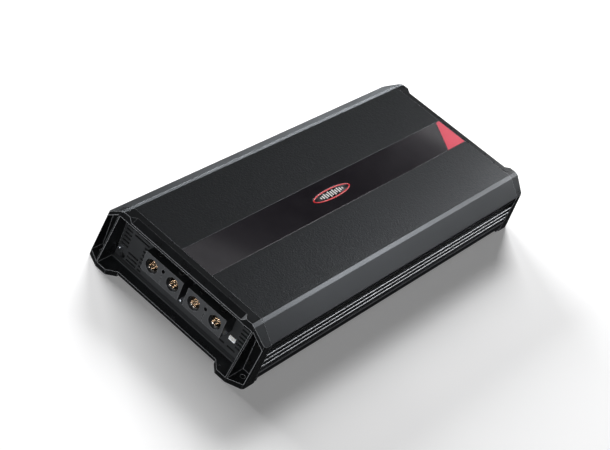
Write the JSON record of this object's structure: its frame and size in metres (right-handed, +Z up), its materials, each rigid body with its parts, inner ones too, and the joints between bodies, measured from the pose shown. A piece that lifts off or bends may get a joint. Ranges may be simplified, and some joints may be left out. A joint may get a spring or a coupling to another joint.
{
  "type": "car amplifier",
  "caption": "Long low car audio amplifier with finned sides, cable terminals recessed in one end cap, signal controls in the other, and feet with screw pockets.",
  "frame": {"origin": "on the mounting surface, below the middle of the body", "axes": "+X along the length from the power terminals to the signal end, +Y to the left of that, +Z up out of the mounting surface"},
  "size_m": [0.5278, 0.224, 0.0733],
  "materials": {
    "cover_paint": "charcoal fine-textured powder coat on extruded aluminium",
    "heatsink_black": "black anodised extrusion with bright machined fin tips",
    "bottom_steel": "black powder-coated sheet steel",
    "stripe_gloss": "dark glossy inlay strip",
    "accent_red": "glossy red inlay",
    "emblem_enamel": null,
    "cap_plastic": "satin black moulded plastic",
    "panel_steel": "dark grey painted sheet steel",
    "housing_plastic": "dark grey moulded plastic",
    "terminal_brass": "nickel-flashed brass",
    "socket_screw_steel": "hardened steel grub screws",
    "black_screw_steel": "black oxide steel",
    "bright_screw_steel": "zinc-plated steel",
    "header_white": "natural white nylon",
    "pin_gold": "gold-flashed pins",
    "fan_plastic": "black glass-filled plastic",
    "board_laminate": "glass-epoxy laminate with green solder mask",
    "capacitor_sleeve": "aluminium cans in dark sleeves",
    "core_ferrite": "ferrite",
    "winding_copper": "enamelled copper wire",
    "busbar_copper": "copper plate",
    "package_epoxy": "moulded epoxy packages",
    "control_plastic": "black moulded plastic",
    "connector_nickel": "nickel-plated shells",
    "knob_plastic": "black knob plastic",
    "lamp_lens": "clear light pipes"
  },
  "bodies": {
    "chassis": {"top_cover": "cover_paint", "heatsink_left": "heatsink_black", "heatsink_right": "heatsink_black", "bottom_plate": "bottom_steel", "stripe_inlay": "stripe_gloss", "accent_inlay": "accent_red", "emblem_plate": "emblem_enamel", "end_cap_power": "cap_plastic", "end_cap_signal": "cap_plastic", "end_panel_power": "panel_steel", "end_panel_signal": "panel_steel", "panel_brackets": "panel_steel", "power_housing_positive": "housing_plastic", "power_housing_negative": "housing_plastic", "speaker_housing": "housing_plastic", "power_terminals_positive": "terminal_brass", "power_terminals_negative": "terminal_brass", "speaker_terminals": "terminal_brass", "housing_screws": "black_screw_steel", "cap_screws": "black_screw_steel", "bottom_screws": "black_screw_steel", "end_panel_screws": "bright_screw_steel", "board_screws": "bright_screw_steel", "clamp_screws": "bright_screw_steel", "board_standoffs": "bright_screw_steel", "clamp_bar_left": "bright_screw_steel", "clamp_bar_right": "bright_screw_steel", "aux_header": "header_white", "aux_header_pins": "pin_gold", "intake_fan_frame": "fan_plastic", "exhaust_fan_frame": "fan_plastic", "main_board": "board_laminate", "signal_board": "board_laminate", "filter_capacitors": "capacitor_sleeve", "transformer_cores": "core_ferrite", "transformer_windings": "winding_copper", "output_inductors": "winding_copper", "busbar_positive": "busbar_copper", "busbar_negative": "busbar_copper", "transistors_left": "package_epoxy", "transistors_right": "package_epoxy", "potentiometers": "control_plastic", "phase_switch_body": "control_plastic", "rca_jack_body": "control_plastic", "rca_jack_shells": "connector_nickel", "status_leds": "lamp_lens"},
    "intake_rotor": {"intake_fan_rotor": "fan_plastic"},
    "exhaust_rotor": {"exhaust_fan_rotor": "fan_plastic"},
    "level_control": {"level_knob": "knob_plastic"},
    "lowpass_control": {"lowpass_knob": "knob_plastic"},
    "highpass_control": {"highpass_knob": "knob_plastic"},
    "bass_control": {"bass_knob": "knob_plastic"},
    "phase_slider": {"phase_switch_slider": "knob_plastic"},
    "power_clamp_1": {"power_set_screw_1": "socket_screw_steel"},
    "power_clamp_2": {"power_set_screw_2": "socket_screw_steel"},
    "power_clamp_3": {"power_set_screw_3": "socket_screw_steel"},
    "power_clamp_4": {"power_set_screw_4": "socket_screw_steel"},
    "speaker_clamp_1": {"speaker_set_screw_1": "socket_screw_steel"},
    "speaker_clamp_2": {"speaker_set_screw_2": "socket_screw_steel"}
  },
  "joints": [
    {"name": "intake_fan_spin", "type": "hinge", "parent": "chassis", "child": "intake_rotor", "pos_m": [-0.2225, 0.0665, 0.0315], "axis": [-1, 0, 0], "continuous": true},
    {"name": "exhaust_fan_spin", "type": "hinge", "parent": "chassis", "child": "exhaust_rotor", "pos_m": [0.2225, -0.0665, 0.0315], "axis": [1, 0, 0], "continuous": true},
    {"name": "level_turn", "type": "hinge", "parent": "chassis", "child": "level_control", "pos_m": [0.235, -0.01, 0.0361], "axis": [1, 0, 0], "range_deg": [-140, 140]},
    {"name": "lowpass_turn", "type": "hinge", "parent": "chassis", "child": "lowpass_control", "pos_m": [0.235, -0.02, 0.0361], "axis": [1, 0, 0], "range_deg": [-140, 140]},
    {"name": "highpass_turn", "type": "hinge", "parent": "chassis", "child": "highpass_control", "pos_m": [0.235, -0.03, 0.0361], "axis": [1, 0, 0], "range_deg": [-140, 140]},
    {"name": "bass_turn", "type": "hinge", "parent": "chassis", "child": "bass_control", "pos_m": [0.235, -0.04, 0.0361], "axis": [1, 0, 0], "range_deg": [-140, 140]},
    {"name": "phase_switch_slide", "type": "slide", "parent": "chassis", "child": "phase_slider", "axis": [0, 1, 0], "range_m": [0, 0.0036]},
    {"name": "power_clamp_1_travel", "type": "slide", "parent": "chassis", "child": "power_clamp_1", "axis": [0, 0, 1], "range_m": [-0.0095, 0]},
    {"name": "power_clamp_2_travel", "type": "slide", "parent": "chassis", "child": "power_clamp_2", "axis": [0, 0, 1], "range_m": [-0.0095, 0]},
    {"name": "power_clamp_3_travel", "type": "slide", "parent": "chassis", "child": "power_clamp_3", "axis": [0, 0, 1], "range_m": [-0.0095, 0]},
    {"name": "power_clamp_4_travel", "type": "slide", "parent": "chassis", "child": "power_clamp_4", "axis": [0, 0, 1], "range_m": [-0.0095, 0]},
    {"name": "speaker_clamp_1_travel", "type": "slide", "parent": "chassis", "child": "speaker_clamp_1", "axis": [0, 0, 1], "range_m": [-0.0095, 0]},
    {"name": "speaker_clamp_2_travel", "type": "slide", "parent": "chassis", "child": "speaker_clamp_2", "axis": [0, 0, 1], "range_m": [-0.0095, 0]}
  ]
}
